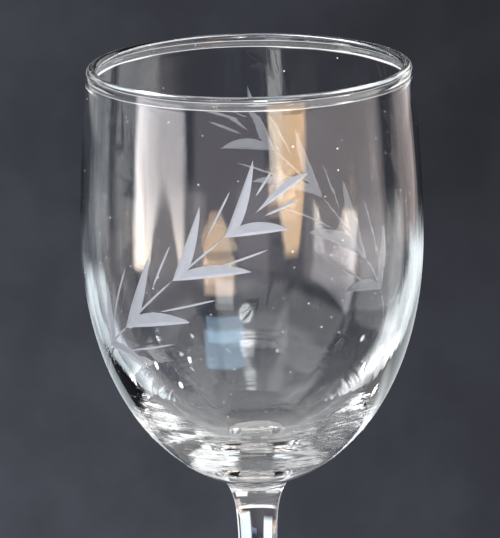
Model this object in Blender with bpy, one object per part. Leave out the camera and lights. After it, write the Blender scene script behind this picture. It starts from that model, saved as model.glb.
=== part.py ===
"""A stemmed wine glass: a blown bowl with a rounded rim and two cut leaf sprays, a drawn stem and a foot.

Metres, +Z up. The origin is the centre of the foot's underside, on the surface that the glass stands on.
Each piece is turned round +Z from a profile of (radius, height) points.
The sprays are cut into the bowl's outer wall.
"""

import math

import bmesh
import bpy
from mathutils import Vector

MM = 0.001

# The whole glass
HEIGHT = 155.0 * MM
FUSED_GAP = 0.3 * MM  # clearance that stands for a hot-fused joint, where the real glass runs on

# Bowl: heights below the rim are depths
RIM_RADIUS = 32.1 * MM
BOWL_RADIUS = 34.5 * MM
WIDEST_DEPTH = 34.4 * MM
BOWL_DEPTH = 87.3 * MM  # where the outer curve would close on the axis
BEAD_RADIUS = 1.05 * MM  # fire-polished rim, a round bead
WALL = 1.6 * MM
LIP_WALL = 1.4 * MM
LIP_DEPTH = 2.8 * MM  # where the bead has faded into the wall
BOTTOM_THICKNESS = 7.0 * MM
SHOULDER_POWER = 1.54  # the wall's curve from the widest level up to the rim
BELLY_POWER = 2.17  # the superellipse below the widest level
BELLY_ROUNDNESS = 1.92

# Stem
COLLAR_RADIUS = 7.7 * MM  # where the stem meets the bowl
SHAFT_RADIUS = 3.95 * MM
UPPER_FLARE_FADE = 3.6 * MM
LOWER_FLARE = 3.0 * MM
LOWER_FLARE_FADE = 3.0 * MM

# Foot
FOOT_RADIUS = 33.5 * MM
EDGE_THICKNESS = 2.2 * MM
CONE_RISE = 2.4 * MM
ANKLE_RISE = 3.7 * MM
ANKLE_FADE = 4.0 * MM
RESTING_RING = (29.5 * MM, 32.3 * MM)
UNDERSIDE_HOLLOW = 1.4 * MM

# Cut sprays: each leaf pair's place, as degrees round the bowl and depth below the rim
LEAF_PAIRS = ((-59.6, 52.5 * MM), (-47.4, 47.0 * MM), (-26.4, 35.5 * MM), (-8.8, 26.4 * MM))
TOP_LEAF = (5.4, 20.0 * MM)
UPPER_LEAF = (16.0 * MM, 69.0)  # length, and degrees above the horizontal
SIDE_LEAF = (15.0 * MM, 9.0)
END_LEAF = (9.5 * MM, 33.0)
LEAF_WIDTH = 2.4 * MM
LEAF_START = 0.5 * MM  # clear of the point where the pair's leaves meet
CUT_DEPTH = 0.35 * MM
CUTTER_PROUD = 0.15 * MM
STEEP_SIDE = 0.2  # share of a leaf's width where the cut is deepest
LEAF_STATIONS = 8
SPRAY_TURNS = (0.0, 180.0)

# Faceting
BOWL_SIDES = 64
STEM_SIDES = 32
FOOT_SIDES = 64


def clear_scene():
    for obj in list(bpy.data.objects):
        bpy.data.objects.remove(obj)


def glass(name, color):
    """Clear glass as a Principled material."""
    material = bpy.data.materials.new(name)
    material.use_nodes = True
    shader = material.node_tree.nodes["Principled BSDF"]
    shader.inputs["Base Color"].default_value = (*color, 1.0)
    shader.inputs["Roughness"].default_value = 0.02
    shader.inputs["Metallic"].default_value = 0.0
    shader.inputs["IOR"].default_value = 1.52
    shader.inputs["Transmission Weight"].default_value = 1.0
    return material


def shared(start, end, count):
    """count + 1 values from start to end, evenly spread."""
    return [start + (end - start) * i / count for i in range(count + 1)]


def mesh_object(name, mesh, material=None):
    obj = bpy.data.objects.new(name, mesh)
    bpy.context.scene.collection.objects.link(obj)
    if material:
        mesh.materials.append(material)
    return obj


def turned(name, profile, sides, material):
    """A solid of revolution. The profile runs from axis to axis, and down the solid's outer side."""
    mesh = bpy.data.meshes.new(name)
    points = [(radius, 0.0, height) for radius, height in profile]
    mesh.from_pydata(points, [(i, i + 1) for i in range(len(points) - 1)], [])
    obj = mesh_object(name, mesh, material)
    screw = obj.modifiers.new("turn", "SCREW")
    screw.steps = sides
    screw.render_steps = sides
    screw.use_merge_vertices = True
    screw.merge_threshold = 0.01 * MM
    screw.use_smooth_shade = True
    return obj


def bowl_radius(depth, widest, lip, closing_depth):
    """Radius of one of the bowl's two surfaces at a depth below the rim."""
    if depth <= WIDEST_DEPTH:
        share = 1.0 - depth / WIDEST_DEPTH
        return widest - (widest - lip) * share**SHOULDER_POWER
    share = (depth - WIDEST_DEPTH) / (closing_depth - WIDEST_DEPTH)
    return widest * (1.0 - share**BELLY_POWER) ** (1.0 / BELLY_ROUNDNESS)


def outer_radius(depth):
    return bowl_radius(depth, BOWL_RADIUS, RIM_RADIUS, BOWL_DEPTH)


def inner_radius(depth):
    return bowl_radius(depth, BOWL_RADIUS - WALL, RIM_RADIUS - LIP_WALL, inner_depth())


def inner_depth():
    return BOWL_DEPTH - BOTTOM_THICKNESS


def belly_depth(turn, closing_depth):
    """Depth at a turn of the superellipse, from 0 at the widest level to a quarter turn on the axis."""
    return WIDEST_DEPTH + (closing_depth - WIDEST_DEPTH) * math.sin(turn) ** (2.0 / BELLY_POWER)


def collar_turn():
    """Turn of the outer curve where it has narrowed to the stem's collar."""
    return math.acos((COLLAR_RADIUS / BOWL_RADIUS) ** (BELLY_ROUNDNESS / 2.0))


def collar_height():
    return HEIGHT - belly_depth(collar_turn(), BOWL_DEPTH)


def bowl_profile():
    quarter = math.pi / 2.0
    inner = [(0.0, HEIGHT - inner_depth())]
    for turn in shared(quarter, 0.0, 12)[1:]:
        depth = belly_depth(turn, inner_depth())
        inner.append((inner_radius(depth), HEIGHT - depth))
    for depth in shared(WIDEST_DEPTH, LIP_DEPTH, 6)[1:]:
        inner.append((inner_radius(depth), HEIGHT - depth))
    bead_centre = outer_radius(BEAD_RADIUS) - BEAD_RADIUS
    bead = []
    for turn in shared(math.radians(215.0), 0.0, 7):
        across = bead_centre + BEAD_RADIUS * math.cos(turn)
        bead.append((across, HEIGHT - BEAD_RADIUS + BEAD_RADIUS * math.sin(turn)))
    outer = []
    for depth in shared(BEAD_RADIUS, WIDEST_DEPTH, 7)[1:]:
        outer.append((outer_radius(depth), HEIGHT - depth))
    for turn in shared(0.0, collar_turn(), 12)[1:]:
        depth = belly_depth(turn, BOWL_DEPTH)
        outer.append((outer_radius(depth), HEIGHT - depth))
    return inner + bead + outer + [(0.0, collar_height())]


def ankle_radius():
    """Radius where the stem meets the foot."""
    return SHAFT_RADIUS + LOWER_FLARE


def foot_height(radius):
    """Height of the foot's top face at a radius: a shallow cone that sweeps up to the stem."""
    cone = CONE_RISE * (1.0 - radius / FOOT_RADIUS)
    sweep = ANKLE_RISE * math.exp((ankle_radius() - radius) / ANKLE_FADE)
    return EDGE_THICKNESS + cone + sweep


def stem_radius(height, top, bottom):
    upper = (COLLAR_RADIUS - SHAFT_RADIUS) * math.exp((height - top) / UPPER_FLARE_FADE)
    lower = LOWER_FLARE * math.exp((bottom - height) / LOWER_FLARE_FADE)
    return SHAFT_RADIUS + upper + lower


def stem_profile():
    top = collar_height() - FUSED_GAP
    bottom = foot_height(ankle_radius()) + FUSED_GAP
    profile = [(0.0, top)]
    for share in shared(0.0, 1.0, 16):
        # steps crowd towards both flares
        height = top + (bottom - top) * (0.5 - 0.5 * math.cos(math.pi * share))
        profile.append((stem_radius(height, top, bottom), height))
    return profile + [(0.0, bottom)]


def foot_profile():
    edge_radius = EDGE_THICKNESS / 2.0
    edge_centre = FOOT_RADIUS - edge_radius
    profile = [(0.0, foot_height(ankle_radius()))]
    for share in shared(0.0, 1.0, 8):
        radius = ankle_radius() + (edge_centre - ankle_radius()) * share**1.5
        profile.append((radius, foot_height(radius)))
    for turn in shared(math.radians(70.0), math.radians(-60.0), 4):
        across = edge_centre + edge_radius * math.cos(turn)
        profile.append((across, edge_radius + edge_radius * math.sin(turn)))
    ring_inner, ring_outer = RESTING_RING
    profile.append((ring_outer, 0.0))
    for radius in shared(ring_inner, 0.0, 4):
        profile.append((radius, UNDERSIDE_HOLLOW * (1.0 - (radius / ring_inner) ** 2)))
    return profile


def wall_point(degrees, depth, proud):
    """Point on the bowl's outer wall, moved out along its normal by proud. 0 degrees is -Y, and 90 is +X."""
    step = 0.1 * MM
    slope = (outer_radius(depth + step) - outer_radius(depth - step)) / (2.0 * step)
    outward = Vector((1.0, slope)).normalized()
    radius = outer_radius(depth) + proud * outward.x
    height = HEIGHT - depth + proud * outward.y
    turn = math.radians(degrees)
    return Vector((radius * math.sin(turn), -radius * math.cos(turn), height))


def leaf_cutter(name, degrees, depth, length, lean, bulge_side):
    """A V-shaped blade with a leaf's outline: one straight edge, and one that bulges to bulge_side."""
    along = Vector((math.cos(math.radians(lean)), math.sin(math.radians(lean))))
    across = bulge_side * Vector((-along.y, along.x))
    spread = 1.0 + CUTTER_PROUD / CUT_DEPTH

    def place(distance, offset, proud):
        girth = along.x * distance + across.x * offset
        rise = along.y * distance + across.y * offset
        return wall_point(degrees + math.degrees(girth / BOWL_RADIUS), depth - rise, proud)

    body = bmesh.new()
    base = body.verts.new(place(LEAF_START, 0.0, CUTTER_PROUD))
    tip = body.verts.new(place(LEAF_START + length, 0.0, CUTTER_PROUD))
    rows = []
    for share in shared(0.0, 1.0, LEAF_STATIONS)[1:-1]:
        fullness = math.sin(math.pi * share) ** 0.8
        distance = LEAF_START + length * share
        width = LEAF_WIDTH * fullness * spread
        row = (
            body.verts.new(place(distance, 0.0, CUTTER_PROUD)),
            body.verts.new(place(distance, width * STEEP_SIDE, -CUT_DEPTH * fullness)),
            body.verts.new(place(distance, width, CUTTER_PROUD)),
        )
        rows.append(row)
    for near, far in zip(rows, rows[1:]):
        for i in range(3):
            j = (i + 1) % 3
            body.faces.new((near[i], near[j], far[j], far[i]))
    for end, row in ((base, rows[0]), (tip, rows[-1])):
        for i in range(3):
            body.faces.new((end, row[i], row[(i + 1) % 3]))
    bmesh.ops.triangulate(body, faces=body.faces)
    bmesh.ops.recalc_face_normals(body, faces=body.faces)
    mesh = bpy.data.meshes.new(name)
    body.to_mesh(mesh)
    body.free()
    return bpy.data.objects.new(name, mesh)


def spray_cutters():
    """A collection of the blades for both sprays, hidden from the render."""
    cutters = bpy.data.collections.new("spray_cutters")
    bpy.context.scene.collection.children.link(cutters)
    leaves = []
    for turn in SPRAY_TURNS:
        for degrees, depth in LEAF_PAIRS:
            leaves.append((turn + degrees, depth, *UPPER_LEAF, -1.0))
            leaves.append((turn + degrees, depth, *SIDE_LEAF, 1.0))
        leaves.append((turn + TOP_LEAF[0], TOP_LEAF[1], *END_LEAF, 1.0))
    for number, leaf in enumerate(leaves):
        cutter = leaf_cutter(f"leaf_cutter_{number}", *leaf)
        cutter.hide_render = True
        cutter.display_type = "WIRE"
        cutters.objects.link(cutter)
    return cutters


def make_bowl():
    bowl = turned("bowl", bowl_profile(), BOWL_SIDES, glass("bowl_glass", (0.93, 0.97, 0.96)))
    cut = bowl.modifiers.new("cut_sprays", "BOOLEAN")
    cut.operation = "DIFFERENCE"
    cut.operand_type = "COLLECTION"
    cut.collection = spray_cutters()
    cut.solver = "EXACT"


def make_stem():
    turned("stem", stem_profile(), STEM_SIDES, glass("stem_glass", (0.94, 0.97, 0.97)))


def make_foot():
    turned("foot", foot_profile(), FOOT_SIDES, glass("foot_glass", (0.92, 0.97, 0.95)))


clear_scene()
make_bowl()
make_stem()
make_foot()
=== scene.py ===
"""A clear wine glass with two cut leaf sprays, on a small table top with a painted pool of light in a dark
studio.

Metres, +Z up. Places round the glass are turns from the front, -Y, towards +X.
Heights on the bowl are depths below the rim.
"""

import math
from collections import namedtuple

import bmesh
import bpy
from mathutils import Matrix, Vector
from mathutils.geometry import delaunay_2d_cdt


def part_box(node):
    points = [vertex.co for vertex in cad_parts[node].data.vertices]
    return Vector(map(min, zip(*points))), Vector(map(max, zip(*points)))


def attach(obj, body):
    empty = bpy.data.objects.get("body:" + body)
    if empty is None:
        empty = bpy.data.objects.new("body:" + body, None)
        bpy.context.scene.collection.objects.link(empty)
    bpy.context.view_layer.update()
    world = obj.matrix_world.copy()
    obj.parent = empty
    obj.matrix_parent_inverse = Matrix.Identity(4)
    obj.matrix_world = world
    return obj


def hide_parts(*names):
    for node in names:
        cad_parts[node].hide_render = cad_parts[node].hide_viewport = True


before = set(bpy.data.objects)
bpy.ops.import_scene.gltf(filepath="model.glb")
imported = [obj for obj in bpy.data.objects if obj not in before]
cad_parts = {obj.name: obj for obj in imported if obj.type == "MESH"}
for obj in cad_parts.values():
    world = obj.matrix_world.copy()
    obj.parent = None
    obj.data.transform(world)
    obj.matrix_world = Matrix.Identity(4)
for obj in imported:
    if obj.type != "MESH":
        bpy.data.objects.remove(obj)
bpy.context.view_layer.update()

MM = 0.001

# The frame's own sizes
bowl_low, bowl_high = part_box("bowl")
stem_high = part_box("stem")[1]
foot_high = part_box("foot")[1]
HEIGHT = bowl_high.z
BOWL_RADIUS = bowl_high.x
COLLAR_HEIGHT = bowl_low.z  # where the stem is fused to the bowl
COLLAR_RADIUS = stem_high.x
FOOT_RADIUS = foot_high.x
ANKLE_HEIGHT = foot_high.z  # where the stem is fused to the foot

# Bowl
RIM_RADIUS = 32.1 * MM
WIDEST_DEPTH = 34.4 * MM
BOWL_DEPTH = 87.3 * MM  # where the outer curve would close on the axis
BEAD_RADIUS = 1.05 * MM
BEAD_START = math.radians(215.0)  # where the bead's arc leaves the inner wall
WALL = 1.6 * MM
LIP_WALL = 1.4 * MM
LIP_DEPTH = 2.8 * MM  # where the bead has faded into the wall
BOTTOM_THICKNESS = 7.0 * MM
SHOULDER_POWER = 1.54
BELLY_POWER = 2.17
BELLY_ROUNDNESS = 1.92

# Stem and foot
SHAFT_RADIUS = 3.95 * MM
UPPER_FLARE_FADE = 3.6 * MM
LOWER_FLARE = 3.0 * MM
LOWER_FLARE_FADE = 3.0 * MM
EDGE_THICKNESS = 2.2 * MM
CONE_RISE = 2.4 * MM
ANKLE_RISE = 3.7 * MM
ANKLE_FADE = 4.0 * MM
RESTING_RING = (29.5 * MM, 32.3 * MM)
UNDERSIDE_HOLLOW = 1.4 * MM

# Blown glass is never quite true: waves round the bowl as (count, twist per metre, phase, height)
INNER_WAVES = ((3, 20.0, 0.6, 0.050 * MM), (7, -35.0, 2.1, 0.022 * MM), (17, 12.0, 4.0, 0.006 * MM))
OUTER_WAVES = ((4, 15.0, 1.2, 0.020 * MM), (11, 25.0, 5.0, 0.008 * MM), (23, -9.0, 3.1, 0.003 * MM))

# Faceting
COLUMNS = 192
STEM_COLUMNS = 96
FIRST_TURN = math.radians(-120.0)  # every ring starts here, clear of both sprays
PANEL_TOP = 7.0 * MM
PANEL_BOTTOM = 75.0 * MM
PANEL_ROWS = 68

# Cuts: start as degrees round the bowl and depth, then length, lean above the horizontal, and width.
# side is +1 where the cut bulges to the left of its direction, -1 to the right, and 0 for an even line.
# peak is the share of the length where the cut is widest.
Cut = namedtuple("Cut", "degrees depth length lean width side peak")
LEAVES = (
    Cut(-59.6, 52.5 * MM, 14.0 * MM, 80.0, 2.4 * MM, -1, 0.32),
    Cut(-59.6, 52.5 * MM, 12.5 * MM, -11.5, 2.6 * MM, 1, 0.48),
    Cut(-47.4, 47.0 * MM, 17.4 * MM, 65.0, 2.5 * MM, -1, 0.32),
    Cut(-47.4, 47.0 * MM, 16.3 * MM, 12.0, 2.8 * MM, 1, 0.48),
    Cut(-26.4, 35.5 * MM, 15.9 * MM, 69.0, 2.3 * MM, -1, 0.32),
    Cut(-26.4, 35.5 * MM, 15.9 * MM, 9.0, 2.4 * MM, 1, 0.48),
    Cut(-8.8, 26.4 * MM, 15.9 * MM, 69.0, 2.1 * MM, -1, 0.32),
    Cut(-8.8, 26.4 * MM, 12.3 * MM, 6.0, 2.4 * MM, 1, 0.48),
    Cut(1.2, 21.6 * MM, 12.7 * MM, 33.0, 1.6 * MM, 1, 0.6),
)
LINES = (
    Cut(-80.0, 63.0 * MM, 16.0 * MM, 41.0, 0.45 * MM, 0, 0.5),
    Cut(-59.6, 52.5 * MM, 9.2 * MM, 36.5, 0.45 * MM, 0, 0.5),
    Cut(-47.4, 47.0 * MM, 17.1 * MM, 42.5, 0.45 * MM, 0, 0.5),
    Cut(-26.4, 35.5 * MM, 13.9 * MM, 41.0, 0.45 * MM, 0, 0.5),
    Cut(-8.8, 26.4 * MM, 4.4 * MM, 45.0, 0.45 * MM, 0, 0.5),
    Cut(-53.5, 46.0 * MM, 12.6 * MM, 66.5, 0.45 * MM, 0, 0.5),
    Cut(-34.2, 37.8 * MM, 10.3 * MM, 65.0, 0.45 * MM, 0, 0.5),
    Cut(-14.8, 26.9 * MM, 10.5 * MM, 63.0, 0.45 * MM, 0, 0.5),
    Cut(1.4, 18.4 * MM, 5.7 * MM, 56.0, 0.5 * MM, 0, 0.5),
    Cut(4.0, 22.2 * MM, 7.5 * MM, 21.5, 0.6 * MM, 0, 0.5),
    Cut(-47.0, 51.8 * MM, 12.3 * MM, 15.5, 0.45 * MM, 0, 0.5),
    Cut(-31.6, 42.1 * MM, 12.2 * MM, 16.5, 0.45 * MM, 0, 0.5),
    Cut(-10.8, 32.1 * MM, 10.1 * MM, 19.5, 0.45 * MM, 0, 0.5),
)
CUT_SLOPE = 0.15  # a leaf's depth as a share of its width
LINE_SLOPE = 0.22
STEEP_SHARE = 0.2  # share of a leaf's width from its straight edge to its deepest line
LEAF_ROUNDNESS = 0.74
LEAF_STATIONS = 14
SPRAY_COUNT = 2
WALL_FACET = 1  # marks the uncut wall between the cuts, and each side of each cut has a higher number

# Some sizes below are smooth steps: (from, to, value before, value after). The values are 0 and 1 if left out.

# Studio
LIGHT_DISTANCE = 1.0
FLOOR_RADIUS = 0.115
FLOOR_THICKNESS = 0.010
# The table's colours are painted light: a pale pool of light under the glass that fades to painted shade at
# the edge.
LIT_POOL_RADIUS = 0.050
TABLE_PAINTED_POOL = (0.52, 0.52, 0.51)
TABLE_PAINTED_SHADE = (0.115, 0.12, 0.145)
TABLE_ROUGHNESS = 0.7
TABLE_GRAIN_SCALE = (900.0, 900.0, 900.0)
TABLE_GRAIN_HEIGHT = 0.02 * MM

# Lights: degrees round the bowl, rise above its widest level, width and height as angles, glow and colour
Light = namedtuple("Light", "degrees rise wide tall glow color", defaults=[(1.0, 1.0, 1.0)])
SOFTBOXES = {
    "overhead": Light(0.0, 89.0, 60.0, 60.0, 0.7),
    "front_high": Light(0.0, 38.0, 64.0, 48.0, 1.8),
    "left_high": Light(-60.0, 40.0, 60.0, 44.0, 2.0),
    "right_high": Light(85.0, 40.0, 64.0, 44.0, 1.4),
    "back_left_high": Light(-150.0, 25.0, 34.0, 26.0, 0.6),
    "back_right_high": Light(150.0, 20.0, 34.0, 34.0, 1.1),
    "room_front": Light(-14.0, -3.0, 54.0, 34.0, 0.8, (1.0, 0.88, 0.96)),
    "room_right": Light(66.0, -4.0, 70.0, 34.0, 1.5, (1.0, 0.89, 0.89)),
    "warm_low_card": Light(-22.0, -15.5, 22.0, 9.0, 4.2, (1.0, 0.70, 0.50)),
    "white_low_card": Light(-19.0, -19.0, 12.0, 9.0, 2.8),
    "cool_low_card": Light(-21.0, -36.0, 27.0, 15.0, 5.5, (0.5, 0.76, 1.0)),
    "right_low": Light(97.0, -20.0, 48.0, 20.0, 1.3),
    "left_kicker": Light(-124.0, -54.0, 60.0, 26.0, 3.2),
    "right_kicker": Light(142.0, -46.0, 50.0, 32.0, 1.1),
    "left_strip": Light(-155.0, -30.0, 26.0, 26.0, 1.1, (0.85, 0.95, 1.0)),
    "right_strip": Light(148.0, -26.0, 38.0, 24.0, 1.1, (0.9, 0.97, 1.0)),
    "right_rear": Light(130.0, -7.5, 34.0, 17.0, 0.6, (1.0, 0.84, 0.8)),
}
EDGE_FADE = 0.12  # share of a softbox over which its edge fades
WINDOW = Light(-64.0, -6.5, 42.0, 20.0, 4.8)
WINDOW_FOOT = (1.0, 0.86, 0.70)
WINDOW_HEAD = (0.96, 0.94, 1.06)
ARCH_MIDDLE = 0.6  # shares of the window's width and height
ARCH_HALF_WIDTH = 0.30
ARCH_TOP = 0.53
ARCH_EDGE = (-0.06, 0.06, 0.06, 1.0)
WINDOW_FOOT_TO_HEAD = (0.1, 0.6, 2.0, 1.0)
WINDOW_LEFT_TO_RIGHT = (0.1, 0.4, 1.7, 0.9)
WARM_CARD = Light(24.0, -3.5, 30.0, 17.0, 7.0)
WARM_CARD_MIDDLE = 0.55  # shares of the card's width
WARM_CARD_FOOT = 0.10
WARM_CARD_SPREAD = 0.5
WARM_CARD_EDGE = (-0.05, 0.05)
WARM_CARD_LEFT = (0.9, 0.72, 0.52)
WARM_CARD_RIGHT = (1.1, 0.66, 0.32)
ROUND_LAMPS = {
    "flash": Light(8.0, 34.0, 16.0, 16.0, 320.0),
    "flash_spill": Light(8.0, 50.0, 26.0, 26.0, 24.0),
}
LAMP_FALLOFF = 3.0
SMALL_LAMPS = (  # degrees and rise
    (-82.0, -38.0),
    (-66.0, -46.0),
    (-50.0, -38.0),
    (-112.0, -44.0),
    (96.0, -38.0),
    (112.0, -46.0),
    (128.0, -38.0),
    (78.0, 24.0),
    (-35.0, 58.0),
    (40.0, 55.0),
)
SMALL_LAMP_WIDTH = 4.0
SMALL_LAMP_GLOW = 200.0

# Room: smooth steps along one axis of the direction looked in
ROOM_TINT = (0.95, 1.0, 1.25)
ROOM_LEFT_TO_RIGHT = (-0.12, 0.12, 0.063, 0.038)
ROOM_LOW_TO_HIGH = (-0.42, -0.20, 0.012, -0.010)
MOTTLE_SCALE = (28.0, 28.0, 28.0)
MOTTLE_DETAIL = 4.0
MOTTLE = (0.3, 0.7, 0.86, 1.14)
BAND_LOWER_EDGE = (-0.170, -0.152)
BAND_UPPER_EDGE = (-0.135, -0.10, 1.0, 0.07)
BAND_SIDE_TO_BACK = (0.5, 0.95, 0.04, 1.3)

# Materials
GLASS_IOR = 1.52
GLASS_TINT = (0.985, 0.993, 0.990)
SMEAR_SCALE = (60.0, 60.0, 40.0)
SMEAR_ROUGHNESS = (0.45, 0.75, 0.0, 0.012)
DRAW_LINE_HEIGHT = 0.006 * MM
CHILL_RING_HEIGHT = 0.12 * MM
TALL_DRAW_SCALE = (700.0, 700.0, 30.0)
FLAT_DRAW_SCALE = (300.0, 300.0, 300.0)
CHILL_RING_TOP = COLLAR_HEIGHT + 24.0 * MM  # faint rings only show on the lowest part of the bowl
CHILL_RING_FADE = 12.0 * MM
CHILL_RING_SCALE = (30.0, 30.0, 500.0)
DUST_SPACING = 3.0 * MM
DUST_RADIUS = 0.15 * MM
DUST_SHARE = 0.5
GRAIN_SIZE = 1.0 * MM  # one unit of the ground cuts' texture
GRIND_MARK_SCALE = (0.5, 9.0, 1.0)
GRIND_MARK_DETAIL = 3.0
GRIND_MARK_HEIGHT = 0.02 * MM
GRIND_ROUGHNESS = (0.25, 0.75, 0.45, 0.7)
GRIND_PATCH_SCALE = (0.35, 0.8, 1.0)
GROUND_DARK = (0.29, 0.31, 0.36)
GROUND_PALE = (0.42, 0.45, 0.50)
GROUND_TRANSMISSION = 0.35

# View
VIEW_DISTANCE = 0.55  # from the rim's centre
VIEW_RISE = math.radians(11.6)
VIEW_PITCH = math.radians(15.83)
VIEW_PAN = math.radians(0.06)
VIEW_ROLL = math.radians(-1.08)
LENS = 185.8


def shared(start, end, count):
    """count + 1 values from start to end, evenly spread."""
    return [start + (end - start) * i / count for i in range(count + 1)]


# Shape of the three pieces


def bowl_radius(depth, widest, lip, closing_depth):
    """Radius of one of the bowl's two surfaces at a depth below the rim."""
    if depth <= WIDEST_DEPTH:
        share = 1.0 - depth / WIDEST_DEPTH
        return widest - (widest - lip) * share**SHOULDER_POWER
    share = (depth - WIDEST_DEPTH) / (closing_depth - WIDEST_DEPTH)
    return widest * (1.0 - share**BELLY_POWER) ** (1.0 / BELLY_ROUNDNESS)


def outer_radius(depth):
    return bowl_radius(depth, BOWL_RADIUS, RIM_RADIUS, BOWL_DEPTH)


def inner_radius(depth):
    return bowl_radius(depth, BOWL_RADIUS - WALL, RIM_RADIUS - LIP_WALL, BOWL_DEPTH - BOTTOM_THICKNESS)


def belly_depth(turn, closing_depth):
    """Depth at a turn of the superellipse, from 0 at the widest level to a quarter turn on the axis."""
    return WIDEST_DEPTH + (closing_depth - WIDEST_DEPTH) * math.sin(turn) ** (2.0 / BELLY_POWER)


def belly_turn(radius):
    """Turn of the outer superellipse where it has narrowed to a radius."""
    return math.acos((radius / BOWL_RADIUS) ** (BELLY_ROUNDNESS / 2.0))


def slope(surface_radius, depth):
    """How fast a surface's radius grows with depth."""
    step = 0.05 * MM
    return (surface_radius(depth + step) - surface_radius(depth - step)) / (2.0 * step)


def bead_profile():
    """The rim as (radius, height) points, from the inner wall over the round bead to the outer wall."""
    lean = math.atan(slope(outer_radius, BEAD_RADIUS))
    touch_depth = BEAD_RADIUS * (1.0 - math.sin(lean))
    centre_radius = outer_radius(touch_depth) - BEAD_RADIUS * math.cos(lean)
    centre_height = HEIGHT - BEAD_RADIUS
    arc = []
    for turn in shared(BEAD_START, lean, 20):
        radius = centre_radius + BEAD_RADIUS * math.cos(turn)
        arc.append((radius, centre_height + BEAD_RADIUS * math.sin(turn)))
    # a curve eases the bead's inner side into the wall
    start = Vector((inner_radius(LIP_DEPTH), HEIGHT - LIP_DEPTH))
    end = Vector(arc[0])
    pull = (end - start).length
    start_way = Vector((-slope(inner_radius, LIP_DEPTH), 1.0)).normalized() * pull
    end_way = Vector((math.sin(BEAD_START), -math.cos(BEAD_START))) * pull
    neck = []
    for t in shared(0.0, 1.0, 6)[1:-1]:
        point = start * (2 * t**3 - 3 * t**2 + 1) + start_way * (t**3 - 2 * t**2 + t)
        point += end * (3 * t**2 - 2 * t**3) + end_way * (t**3 - t**2)
        neck.append((point.x, point.y))
    return neck + arc


def inner_profile():
    """The inner wall from the axis up to where the rim's bead begins, as (radius, height)."""
    closing = BOWL_DEPTH - BOTTOM_THICKNESS
    profile = [(0.0, HEIGHT - closing)]
    for turn in shared(math.pi / 2.0, 0.0, 48)[1:]:
        depth = belly_depth(turn, closing)
        profile.append((inner_radius(depth), HEIGHT - depth))
    for depth in shared(WIDEST_DEPTH, LIP_DEPTH, 30)[1:]:
        profile.append((inner_radius(depth), HEIGHT - depth))
    return profile


def stem_radius(height):
    upper = (COLLAR_RADIUS - SHAFT_RADIUS) * math.exp((height - COLLAR_HEIGHT) / UPPER_FLARE_FADE)
    lower = LOWER_FLARE * math.exp((ANKLE_HEIGHT - height) / LOWER_FLARE_FADE)
    return SHAFT_RADIUS + upper + lower


def stem_profile():
    profile = [(0.0, COLLAR_HEIGHT)]
    for share in shared(0.0, 1.0, 72):
        # steps crowd towards both flares
        height = COLLAR_HEIGHT + (ANKLE_HEIGHT - COLLAR_HEIGHT) * (0.5 - 0.5 * math.cos(math.pi * share))
        profile.append((stem_radius(height), height))
    return profile + [(0.0, ANKLE_HEIGHT)]


def foot_height(radius):
    cone = CONE_RISE * (1.0 - radius / FOOT_RADIUS)
    sweep = ANKLE_RISE * math.exp((SHAFT_RADIUS + LOWER_FLARE - radius) / ANKLE_FADE)
    return EDGE_THICKNESS + cone + sweep


def foot_profile():
    ankle = SHAFT_RADIUS + LOWER_FLARE
    edge_radius = EDGE_THICKNESS / 2.0
    edge_centre = FOOT_RADIUS - edge_radius
    profile = [(0.0, ANKLE_HEIGHT)]
    for share in shared(0.0, 1.0, 40):
        radius = ankle + (edge_centre - ankle) * share**1.3
        profile.append((radius, foot_height(radius)))
    for turn in shared(math.radians(80.0), math.radians(-60.0), 14):
        profile.append((edge_centre + edge_radius * math.cos(turn), edge_radius * (1.0 + math.sin(turn))))
    ring_inner, ring_outer = RESTING_RING
    profile.append((ring_outer, 0.0))
    for radius in shared(ring_inner, 0.0, 24):
        profile.append((radius, UNDERSIDE_HOLLOW * (1.0 - (radius / ring_inner) ** 2)))
    return profile


# Mesh helpers


def waviness(waves, turn, height, radius):
    """Small swell of a blown wall at a place. It fades to nothing at the rim and towards the axis."""
    swell = 0.0
    for count, twist, phase, size in waves:
        swell += size * math.sin(count * turn + twist * height * math.tau + phase)
    rim_fade = min(1.0, (HEIGHT - height) / PANEL_TOP)
    return swell * rim_fade * min(1.0, radius / BOWL_RADIUS) ** 2


def around(radius, turn, height):
    return Vector((radius * math.sin(turn), -radius * math.cos(turn), height))


def ring(body, radius, height, columns, waves=()):
    """One ring of vertices round +Z, or a single vertex on the axis."""
    if radius == 0.0:
        return [body.verts.new((0.0, 0.0, height))]
    verts = []
    for i in range(columns):
        turn = FIRST_TURN + math.tau * i / columns
        swollen = radius + waviness(waves, turn, height, radius)
        verts.append(body.verts.new(around(swollen, turn, height)))
    return verts


def join_rings(body, first, second, slot=0):
    """Faces between two rings, the second one further along the profile."""
    count = max(len(first), len(second))
    for i in range(count):
        j = (i + 1) % count
        if len(first) == 1:
            corners = (first[0], second[j], second[i])
        elif len(second) == 1:
            corners = (first[i], first[j], second[0])
        else:
            corners = (first[i], first[j], second[j], second[i])
        body.faces.new(corners).material_index = slot


def finished_object(name, body, *materials):
    """The closed mesh as an object, smooth and with its faces pointing out."""
    bmesh.ops.recalc_face_normals(body, faces=body.faces)
    mesh = bpy.data.meshes.new(name)
    body.to_mesh(mesh)
    body.free()
    mesh.shade_smooth()
    for material in materials:
        mesh.materials.append(material)
    obj = bpy.data.objects.new(name, mesh)
    bpy.context.scene.collection.objects.link(obj)
    return obj


def turned(name, profile, columns, joints, *materials):
    """A solid of revolution. Its faces next to a profile end named in joints take the fused joint's slot."""
    body = bmesh.new()
    rings = [ring(body, radius, height, columns) for radius, height in profile]
    last = len(rings) - 2
    for i in range(last + 1):
        fused = (i == 0 and "first" in joints) or (i == last and "last" in joints)
        join_rings(body, rings[i], rings[i + 1], 1 if fused else 0)
    return finished_object(name, body, *materials)


# Cut sprays, drawn flat on the unrolled wall: x is the way round and y the height, in metres


def unrolled(degrees, depth):
    return Vector((math.radians(degrees) * BOWL_RADIUS, -depth))


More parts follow.
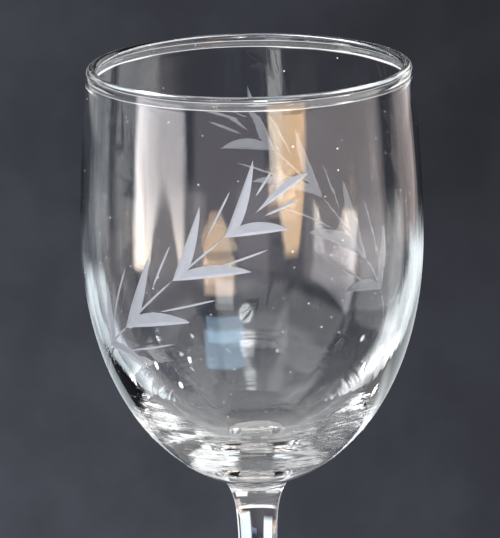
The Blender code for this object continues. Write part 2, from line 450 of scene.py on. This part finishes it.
def fullness(cut, share):
    """Share of the cut's full width at a share of its length."""
    if cut.side == 0:
        return (4.0 * share * (1.0 - share)) ** 0.4
    return abs(math.sin(math.pi * share ** (math.log(0.5) / math.log(cut.peak)))) ** LEAF_ROUNDNESS


def cut_frame(cut):
    lean = math.radians(cut.lean)
    along = Vector((math.cos(lean), math.sin(lean)))
    across = Vector((-along.y, along.x))
    return along, -across if cut.side < 0 else across


def cut_place(cut, share, offset):
    """Point at a share of the cut's length, and at a share of its local width."""
    along, across = cut_frame(cut)
    width = cut.width * fullness(cut, share)
    shift = width * (offset - 0.5 if cut.side == 0 else offset)
    return unrolled(cut.degrees, cut.depth) + along * cut.length * share + across * shift


def deepest_share(cut):
    return 0.5 if cut.side == 0 else STEEP_SHARE


def cut_depth(cut, point):
    """Depth of a cut at a point, and whether the point is on its steep side."""
    place = along_cut(cut, point)
    share = place.x / cut.length
    if not 0.0 < share < 1.0:
        return 0.0, False
    width = cut.width * fullness(cut, share)
    offset = place.y / width + (0.5 if cut.side == 0 else 0.0)
    if not 0.0 < offset < 1.0:
        return 0.0, False
    full = width * (LINE_SLOPE if cut.side == 0 else CUT_SLOPE)
    deepest = deepest_share(cut)
    if offset < deepest:
        return full * offset / deepest, True
    return full * (1.0 - offset) / (1.0 - deepest), False


def deepest_cut(point):
    """(depth, cut number, steep side) of whichever cut is deepest at a point."""
    best = (0.0, -1, False)
    for number, cut in enumerate(LEAVES + LINES):
        depth, steep = cut_depth(cut, point)
        if depth > best[0]:
            best = (depth, number, steep)
    return best


def facet_at(point):
    """Number of the facet at a point of the unrolled wall, and its cut if it is in one."""
    _, number, steep = deepest_cut(point)
    if number < 0:
        return WALL_FACET, None
    return WALL_FACET + 1 + 2 * number + steep, (LEAVES + LINES)[number]


def along_cut(cut, point):
    """How far a point is along and across a cut."""
    along, across = cut_frame(cut)
    away = point - unrolled(cut.degrees, cut.depth)
    return Vector((away.dot(along), away.dot(across)))


def cut_outline(cut):
    """The cut's edge as a closed loop of points, and its deepest line."""
    shares = shared(0.0, 1.0, LEAF_STATIONS if cut.side else 6)
    near = [cut_place(cut, share, 0.0) for share in shares]
    far = [cut_place(cut, share, 1.0) for share in shares[1:-1]]
    spine = [cut_place(cut, share, deepest_share(cut)) for share in shares]
    return near + far[::-1], spine


def panel():
    """The unrolled half wall round one spray, as flat points and triangles with every cut's edges in them."""
    points = []
    edges = []
    for row in range(PANEL_ROWS + 1):
        depth = PANEL_TOP + (PANEL_BOTTOM - PANEL_TOP) * row / PANEL_ROWS
        for column in range(COLUMNS // SPRAY_COUNT + 1):
            turn = FIRST_TURN + math.tau * column / COLUMNS
            points.append(Vector((turn * BOWL_RADIUS, -depth)))
    for cut in LEAVES + LINES:
        outline, spine = cut_outline(cut)
        first = len(points)
        points += outline
        edges += [(first + i, first + (i + 1) % len(outline)) for i in range(len(outline))]
        first = len(points)
        points += spine
        edges += [(first + i, first + i + 1) for i in range(len(spine) - 1)]
    flat, _, triangles, *_ = delaunay_2d_cdt(points, edges, [], 0, 0.002 * MM)
    return flat, triangles


def wall_point(flat, turned_by=0.0, sunk=0.0):
    """Point on the bowl's outer wall at a flat point, sunk into the wall by a depth."""
    turn = flat.x / BOWL_RADIUS
    depth = -flat.y
    lean = slope(outer_radius, depth)
    radius = outer_radius(depth)
    radius += waviness(OUTER_WAVES, turn + turned_by, HEIGHT - depth, radius)
    steepness = math.hypot(1.0, lean)
    return around(radius - sunk / steepness, turn + turned_by, HEIGHT - depth - sunk * lean / steepness)


def wall_normal(place):
    """Normal of the uncut outer wall at a place on it."""
    flat = Vector((math.atan2(place.x, -place.y) * BOWL_RADIUS, place.z - HEIGHT))
    sideways = Vector((0.05 * MM, 0.0))
    upward = Vector((0.0, 0.05 * MM))
    across = wall_point(flat + sideways) - wall_point(flat - sideways)
    along = wall_point(flat + upward) - wall_point(flat - upward)
    return across.cross(along).normalized()


def set_cut_normals(mesh):
    """Keeps the wall's shading true right up to each cut, and each side of a cut smooth in itself."""
    facets = [facet.value for facet in mesh.attributes["facet"].data]
    wall_normals = {}
    facet_normals = {}
    for face, facet in zip(mesh.polygons, facets):
        for vertex in face.vertices:
            if facet == WALL_FACET and vertex not in wall_normals:
                wall_normals[vertex] = wall_normal(mesh.vertices[vertex].co)
            elif facet > WALL_FACET:
                so_far = facet_normals.get((facet, vertex), Vector())
                facet_normals[facet, vertex] = so_far + face.normal * face.area
    normals = []
    for face, facet in zip(mesh.polygons, facets):
        for vertex in face.vertices:
            if facet == WALL_FACET:
                normals.append(wall_normals[vertex])
            elif facet > WALL_FACET:
                normals.append(facet_normals[facet, vertex].normalized())
            else:
                normals.append(mesh.vertex_normals[vertex].vector.copy())
    mesh.normals_split_custom_set(normals)
    mesh.attributes.remove(mesh.attributes["facet"])


# Materials


def node_material(name):
    material = bpy.data.materials.new(name)
    material.use_nodes = True
    tree = material.node_tree
    return material, tree, tree.nodes["Principled BSDF"]


def math_node(tree, operation, first, second=0.0):
    """A maths node's output. Each input is a number or another node's output."""
    node = tree.nodes.new("ShaderNodeMath")
    node.operation = operation
    for socket, value in zip(node.inputs, (first, second)):
        if isinstance(value, (int, float)):
            socket.default_value = value
        else:
            tree.links.new(value, socket)
    return node.outputs[0]


def ramp(tree, value, low, high, at_low=0.0, at_high=1.0):
    """A smooth step from at_low to at_high as value goes from low to high."""
    node = tree.nodes.new("ShaderNodeMapRange")
    node.interpolation_type = "SMOOTHSTEP"
    tree.links.new(value, node.inputs["Value"])
    for name, number in (("From Min", low), ("From Max", high), ("To Min", at_low), ("To Max", at_high)):
        node.inputs[name].default_value = number
    return node.outputs["Result"]


def mixed(tree, share, first, second):
    """A colour between two others."""
    node = tree.nodes.new("ShaderNodeMix")
    node.data_type = "RGBA"
    tree.links.new(share, node.inputs["Factor"])
    node.inputs["A"].default_value = (*first, 1.0)
    node.inputs["B"].default_value = (*second, 1.0)
    return node.outputs["Result"]


def noise(tree, place, scale, detail=2.0):
    """Noise from 0 to 1 over a place, with features about 1 / scale wide along each axis."""
    mapping = tree.nodes.new("ShaderNodeMapping")
    mapping.inputs["Scale"].default_value = scale
    texture = tree.nodes.new("ShaderNodeTexNoise")
    texture.inputs["Scale"].default_value = 1.0
    texture.inputs["Detail"].default_value = detail
    tree.links.new(place, mapping.inputs["Vector"])
    tree.links.new(mapping.outputs["Vector"], texture.inputs["Vector"])
    return texture.outputs["Fac"]


def bumped(tree, height, distance, shader):
    bump = tree.nodes.new("ShaderNodeBump")
    bump.inputs["Distance"].default_value = distance
    tree.links.new(height, bump.inputs["Height"])
    tree.links.new(bump.outputs["Normal"], shader.inputs["Normal"])


def dust(tree, place):
    """1 on a few small specks and 0 elsewhere."""
    cells = tree.nodes.new("ShaderNodeTexVoronoi")
    cells.inputs["Scale"].default_value = 1.0 / DUST_SPACING
    tree.links.new(place, cells.inputs["Vector"])
    near = math_node(tree, "LESS_THAN", cells.outputs["Distance"], DUST_RADIUS / DUST_SPACING)
    return math_node(tree, "MULTIPLY", near, math_node(tree, "LESS_THAN", cells.outputs["Color"], DUST_SHARE))


def clear_glass(name, draw_scale, ring_height):
    """Clear soda-lime glass with faint draw lines, chill rings low down and a few specks of dust."""
    material, tree, shader = node_material(name)
    place = tree.nodes.new("ShaderNodeTexCoord").outputs["Object"]
    speck = dust(tree, place)
    tree.links.new(mixed(tree, speck, GLASS_TINT, (1.0, 1.0, 1.0)), shader.inputs["Base Color"])
    tree.links.new(ramp(tree, speck, 0.0, 1.0, 1.0, 0.0), shader.inputs["Transmission Weight"])
    smeared = ramp(tree, noise(tree, place, SMEAR_SCALE), *SMEAR_ROUGHNESS)
    tree.links.new(math_node(tree, "MAXIMUM", smeared, speck), shader.inputs["Roughness"])
    sides = tree.nodes.new("ShaderNodeSeparateXYZ")
    tree.links.new(place, sides.inputs[0])
    low = ramp(tree, sides.outputs["Z"], CHILL_RING_TOP - CHILL_RING_FADE, CHILL_RING_TOP, ring_height, 0.0)
    rings = math_node(tree, "MULTIPLY", low, noise(tree, place, CHILL_RING_SCALE))
    lines = math_node(tree, "MULTIPLY", noise(tree, place, draw_scale), DRAW_LINE_HEIGHT)
    bumped(tree, math_node(tree, "ADD", rings, lines), 1.0, shader)
    shader.inputs["IOR"].default_value = GLASS_IOR
    return material


def cut_glass(name):
    """Ground glass inside the cuts, matt and grey-white, with the wheel's marks along each cut."""
    material, tree, shader = node_material(name)
    grain = tree.nodes.new("ShaderNodeUVMap")
    grain.uv_map = "grain"
    marks = noise(tree, grain.outputs["UV"], GRIND_MARK_SCALE, GRIND_MARK_DETAIL)
    patches = noise(tree, grain.outputs["UV"], GRIND_PATCH_SCALE)
    tree.links.new(mixed(tree, patches, GROUND_DARK, GROUND_PALE), shader.inputs["Base Color"])
    tree.links.new(ramp(tree, marks, *GRIND_ROUGHNESS), shader.inputs["Roughness"])
    bumped(tree, marks, GRIND_MARK_HEIGHT, shader)
    shader.inputs["IOR"].default_value = GLASS_IOR
    shader.inputs["Transmission Weight"].default_value = GROUND_TRANSMISSION
    return material


def fused_joint():
    """The unseen surface where two pieces of hot glass ran together."""
    material = bpy.data.materials.new("fused_joint")
    material.use_nodes = True
    nodes = material.node_tree.nodes
    nodes.remove(nodes["Principled BSDF"])
    clear = nodes.new("ShaderNodeBsdfTransparent")
    material.node_tree.links.new(clear.outputs[0], nodes["Material Output"].inputs["Surface"])
    return material


# Pieces


def make_bowl(joint):
    body = bmesh.new()
    rings = [ring(body, radius, height, COLUMNS, INNER_WAVES) for radius, height in inner_profile()]
    rings += [ring(body, radius, height, COLUMNS) for radius, height in bead_profile()]
    for depth in shared(BEAD_RADIUS, PANEL_TOP, 6)[1:]:
        rings.append(ring(body, outer_radius(depth), HEIGHT - depth, COLUMNS, OUTER_WAVES))
    for upper, lower in zip(rings, rings[1:]):
        join_rings(body, upper, lower)

    flat, triangles = panel()
    depths = [deepest_cut(point)[0] for point in flat]
    middles = [(flat[a] + flat[b] + flat[c]) / 3.0 for a, b, c in triangles]
    facets = [facet_at(middle) for middle in middles]
    facet_layer = body.faces.layers.int.new("facet")
    grain = body.loops.layers.uv.new("grain")
    for spray in range(SPRAY_COUNT):
        turned_by = math.tau * spray / SPRAY_COUNT
        verts = []
        for point, depth in zip(flat, depths):
            verts.append(body.verts.new(wall_point(point, turned_by, depth)))
        for corners, (facet, cut) in zip(triangles, facets):
            face = body.faces.new([verts[i] for i in corners])
            face[facet_layer] = facet
            if cut:
                face.material_index = 2
                for loop, corner in zip(face.loops, corners):
                    loop[grain].uv = along_cut(cut, flat[corner]) / GRAIN_SIZE
    lower_rings = []
    for turn in shared(belly_turn(outer_radius(PANEL_BOTTOM)), belly_turn(COLLAR_RADIUS), 30):
        depth = belly_depth(turn, BOWL_DEPTH)
        lower_rings.append(ring(body, outer_radius(depth), HEIGHT - depth, COLUMNS, OUTER_WAVES))
    for upper, lower in zip(lower_rings, lower_rings[1:]):
        join_rings(body, upper, lower)
    join_rings(body, lower_rings[-1], ring(body, 0.0, COLLAR_HEIGHT, COLUMNS), 1)
    bmesh.ops.remove_doubles(body, verts=body.verts, dist=0.001 * MM)
    glass = clear_glass("clear_bowl_glass", TALL_DRAW_SCALE, CHILL_RING_HEIGHT)
    bowl = finished_object("cut_bowl", body, glass, joint, cut_glass("ground_cuts"))
    set_cut_normals(bowl.data)
    return bowl


def make_stem(joint):
    glass = clear_glass("clear_stem_glass", TALL_DRAW_SCALE, 0.0)
    return turned("drawn_stem", stem_profile(), STEM_COLUMNS, ("first", "last"), glass, joint)


def make_foot(joint):
    glass = clear_glass("clear_foot_glass", FLAT_DRAW_SCALE, 0.0)
    return turned("round_foot", foot_profile(), COLUMNS, ("first",), glass, joint)


# Studio


def make_camera():
    """The camera looks down on the rim, turned a little about its own axis."""
    data = bpy.data.cameras.new("camera")
    data.lens = LENS
    data.clip_start = 0.01
    camera = bpy.data.objects.new("camera", data)
    bpy.context.scene.collection.objects.link(camera)
    place = Vector((0.0, -math.cos(VIEW_RISE), math.sin(VIEW_RISE))) * VIEW_DISTANCE
    turn = Matrix.Rotation(VIEW_PAN, 4, "Z") @ Matrix.Rotation(math.pi / 2.0 - VIEW_PITCH, 4, "X")
    turn = turn @ Matrix.Rotation(VIEW_ROLL, 4, "Z")
    camera.matrix_world = Matrix.Translation(Vector((0.0, 0.0, HEIGHT)) + place) @ turn
    bpy.context.scene.camera = camera


def area_light(name, light):
    """A rectangle of light that faces the bowl. Returns its nodes and how far across and up it a point is."""
    data = bpy.data.lights.new(name, "AREA")
    data.shape = "RECTANGLE"
    data.size = 2.0 * LIGHT_DISTANCE * math.tan(math.radians(light.wide) / 2.0)
    data.size_y = 2.0 * LIGHT_DISTANCE * math.tan(math.radians(light.tall) / 2.0)
    data.energy = light.glow * math.pi * data.size * data.size_y
    data.color = light.color
    data.use_nodes = True
    obj = bpy.data.objects.new(name, data)
    bpy.context.scene.collection.objects.link(obj)
    turn = math.radians(light.degrees)
    lift = math.radians(light.rise)
    way = Vector((math.sin(turn) * math.cos(lift), -math.cos(turn) * math.cos(lift), math.sin(lift)))
    obj.location = Vector((0.0, 0.0, HEIGHT - WIDEST_DEPTH)) + way * LIGHT_DISTANCE
    obj.rotation_euler = way.to_track_quat("Z", "Y").to_euler()
    obj.visible_camera = False
    tree = data.node_tree
    sides = tree.nodes.new("ShaderNodeSeparateXYZ")
    tree.links.new(tree.nodes.new("ShaderNodeNewGeometry").outputs["Parametric"], sides.inputs[0])
    return tree, sides.outputs["X"], sides.outputs["Y"]


def set_strength(tree, strength):
    tree.links.new(strength, tree.nodes["Emission"].inputs["Strength"])


def set_color(tree, color):
    tree.links.new(color, tree.nodes["Emission"].inputs["Color"])


def softbox(name, light):
    """A rectangle of light that fades at its edges. Also returns its strength."""
    tree, across, up = area_light(name, light)
    strength = 1.0
    for side in (across, up):
        off_centre = math_node(tree, "ABSOLUTE", math_node(tree, "SUBTRACT", side, 0.5))
        inside = ramp(tree, off_centre, 0.5 - EDGE_FADE, 0.5, 1.0, 0.0)
        strength = math_node(tree, "MULTIPLY", strength, inside)
    set_strength(tree, strength)
    return tree, across, up, strength


def round_lamp(name, light):
    """A round lamp that is brightest in its middle."""
    tree, across, up = area_light(name, light)
    across_squared = math_node(tree, "POWER", math_node(tree, "SUBTRACT", across, 0.5), 2.0)
    up_squared = math_node(tree, "POWER", math_node(tree, "SUBTRACT", up, 0.5), 2.0)
    off_centre = math_node(tree, "SQRT", math_node(tree, "ADD", across_squared, up_squared))
    strength = math_node(tree, "POWER", ramp(tree, off_centre, 0.0, 0.5, 1.0, 0.0), LAMP_FALLOFF)
    set_strength(tree, strength)


def make_window():
    """A tall window on the left, brightest at its left side and at its warm foot.

    An arch of shade splits its lower half into two legs.
    """
    tree, across, up, strength = softbox("window", WINDOW)
    off_middle = math_node(tree, "DIVIDE", math_node(tree, "SUBTRACT", across, ARCH_MIDDLE), ARCH_HALF_WIDTH)
    fall = math_node(tree, "POWER", off_middle, 2.0)
    arch = math_node(tree, "MULTIPLY", math_node(tree, "SUBTRACT", 1.0, fall), ARCH_TOP)
    above_arch = math_node(tree, "SUBTRACT", up, arch)
    strength = math_node(tree, "MULTIPLY", strength, ramp(tree, above_arch, *ARCH_EDGE))
    strength = math_node(tree, "MULTIPLY", strength, ramp(tree, up, *WINDOW_FOOT_TO_HEAD))
    strength = math_node(tree, "MULTIPLY", strength, ramp(tree, across, *WINDOW_LEFT_TO_RIGHT))
    set_strength(tree, strength)
    set_color(tree, mixed(tree, up, WINDOW_FOOT, WINDOW_HEAD))


def make_warm_card():
    """A warm card on the right, narrower towards its foot."""
    tree, across, up, strength = softbox("warm_card", WARM_CARD)
    off_centre = math_node(tree, "ABSOLUTE", math_node(tree, "SUBTRACT", across, WARM_CARD_MIDDLE))
    spread = math_node(tree, "MULTIPLY", up, WARM_CARD_SPREAD)
    half_width = math_node(tree, "ADD", spread, WARM_CARD_FOOT)
    inside = ramp(tree, math_node(tree, "SUBTRACT", half_width, off_centre), *WARM_CARD_EDGE)
    set_strength(tree, math_node(tree, "MULTIPLY", strength, inside))
    set_color(tree, mixed(tree, across, WARM_CARD_LEFT, WARM_CARD_RIGHT))


def make_lights():
    for name, light in SOFTBOXES.items():
        softbox(name, light)
    make_window()
    make_warm_card()
    for name, light in ROUND_LAMPS.items():
        round_lamp(name, light)
    for number, (degrees, rise) in enumerate(SMALL_LAMPS):
        light = Light(degrees, rise, SMALL_LAMP_WIDTH, SMALL_LAMP_WIDTH, SMALL_LAMP_GLOW)
        round_lamp(f"lamp_{number}", light)


def make_floor():
    """A round table top with a painted pool of light, pale under the glass, and painted shade darker towards
    its edge.
    """
    body = bmesh.new()
    bmesh.ops.create_cone(
        body, cap_ends=True, segments=128, radius1=FLOOR_RADIUS, radius2=FLOOR_RADIUS, depth=FLOOR_THICKNESS
    )
    bmesh.ops.translate(body, verts=body.verts, vec=(0.0, 0.0, -FLOOR_THICKNESS / 2.0))
    material, tree, shader = node_material("table_painted_light_pool")
    place = tree.nodes.new("ShaderNodeTexCoord").outputs["Object"]
    distance = tree.nodes.new("ShaderNodeVectorMath")
    distance.operation = "LENGTH"
    tree.links.new(place, distance.inputs[0])
    # Painted pool of light under the glass, fading to painted shade towards the edge.
    pool_to_shade = ramp(tree, distance.outputs["Value"], LIT_POOL_RADIUS, FLOOR_RADIUS)
    tree.links.new(mixed(tree, pool_to_shade, TABLE_PAINTED_POOL, TABLE_PAINTED_SHADE), shader.inputs["Base Color"])
    shader.inputs["Roughness"].default_value = TABLE_ROUGHNESS
    bumped(tree, noise(tree, place, TABLE_GRAIN_SCALE), TABLE_GRAIN_HEIGHT, shader)
    finished_object("floor", body, material)


def make_world():
    """A dim, softly mottled room, lighter to the left and below.

    A bright band low down behind the glass draws the rim's thin bright lines.
    """
    world = bpy.data.worlds.new("studio")
    bpy.context.scene.world = world
    world.use_nodes = True
    tree = world.node_tree
    way = tree.nodes.new("ShaderNodeTexCoord").outputs["Generated"]
    parts = tree.nodes.new("ShaderNodeSeparateXYZ")
    tree.links.new(way, parts.inputs[0])
    right, back, up = parts.outputs
    dim = math_node(tree, "ADD", ramp(tree, right, *ROOM_LEFT_TO_RIGHT), ramp(tree, up, *ROOM_LOW_TO_HIGH))
    mottle = ramp(tree, noise(tree, way, MOTTLE_SCALE, MOTTLE_DETAIL), *MOTTLE)
    room = math_node(tree, "MULTIPLY", dim, mottle)
    band = math_node(tree, "MULTIPLY", ramp(tree, up, *BAND_LOWER_EDGE), ramp(tree, up, *BAND_UPPER_EDGE))
    behind = math_node(tree, "MULTIPLY", band, ramp(tree, back, *BAND_SIDE_TO_BACK))
    color = tree.nodes.new("ShaderNodeCombineColor")
    for socket, share in zip(color.inputs, ROOM_TINT):
        tinted = math_node(tree, "MULTIPLY", room, share)
        tree.links.new(math_node(tree, "ADD", tinted, behind), socket)
    tree.links.new(color.outputs[0], tree.nodes["Background"].inputs["Color"])


def set_render_look():
    scene = bpy.context.scene
    scene.view_settings.view_transform = "Standard"
    scene.cycles.max_bounces = 24
    scene.cycles.transmission_bounces = 24
    scene.cycles.glossy_bounces = 12
    scene.cycles.transparent_max_bounces = 16


joint = fused_joint()
for node, piece in (("bowl", make_bowl(joint)), ("stem", make_stem(joint)), ("foot", make_foot(joint))):
    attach(piece, "root")
    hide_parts(node)
make_floor()
make_world()
make_lights()
make_camera()
set_render_look()
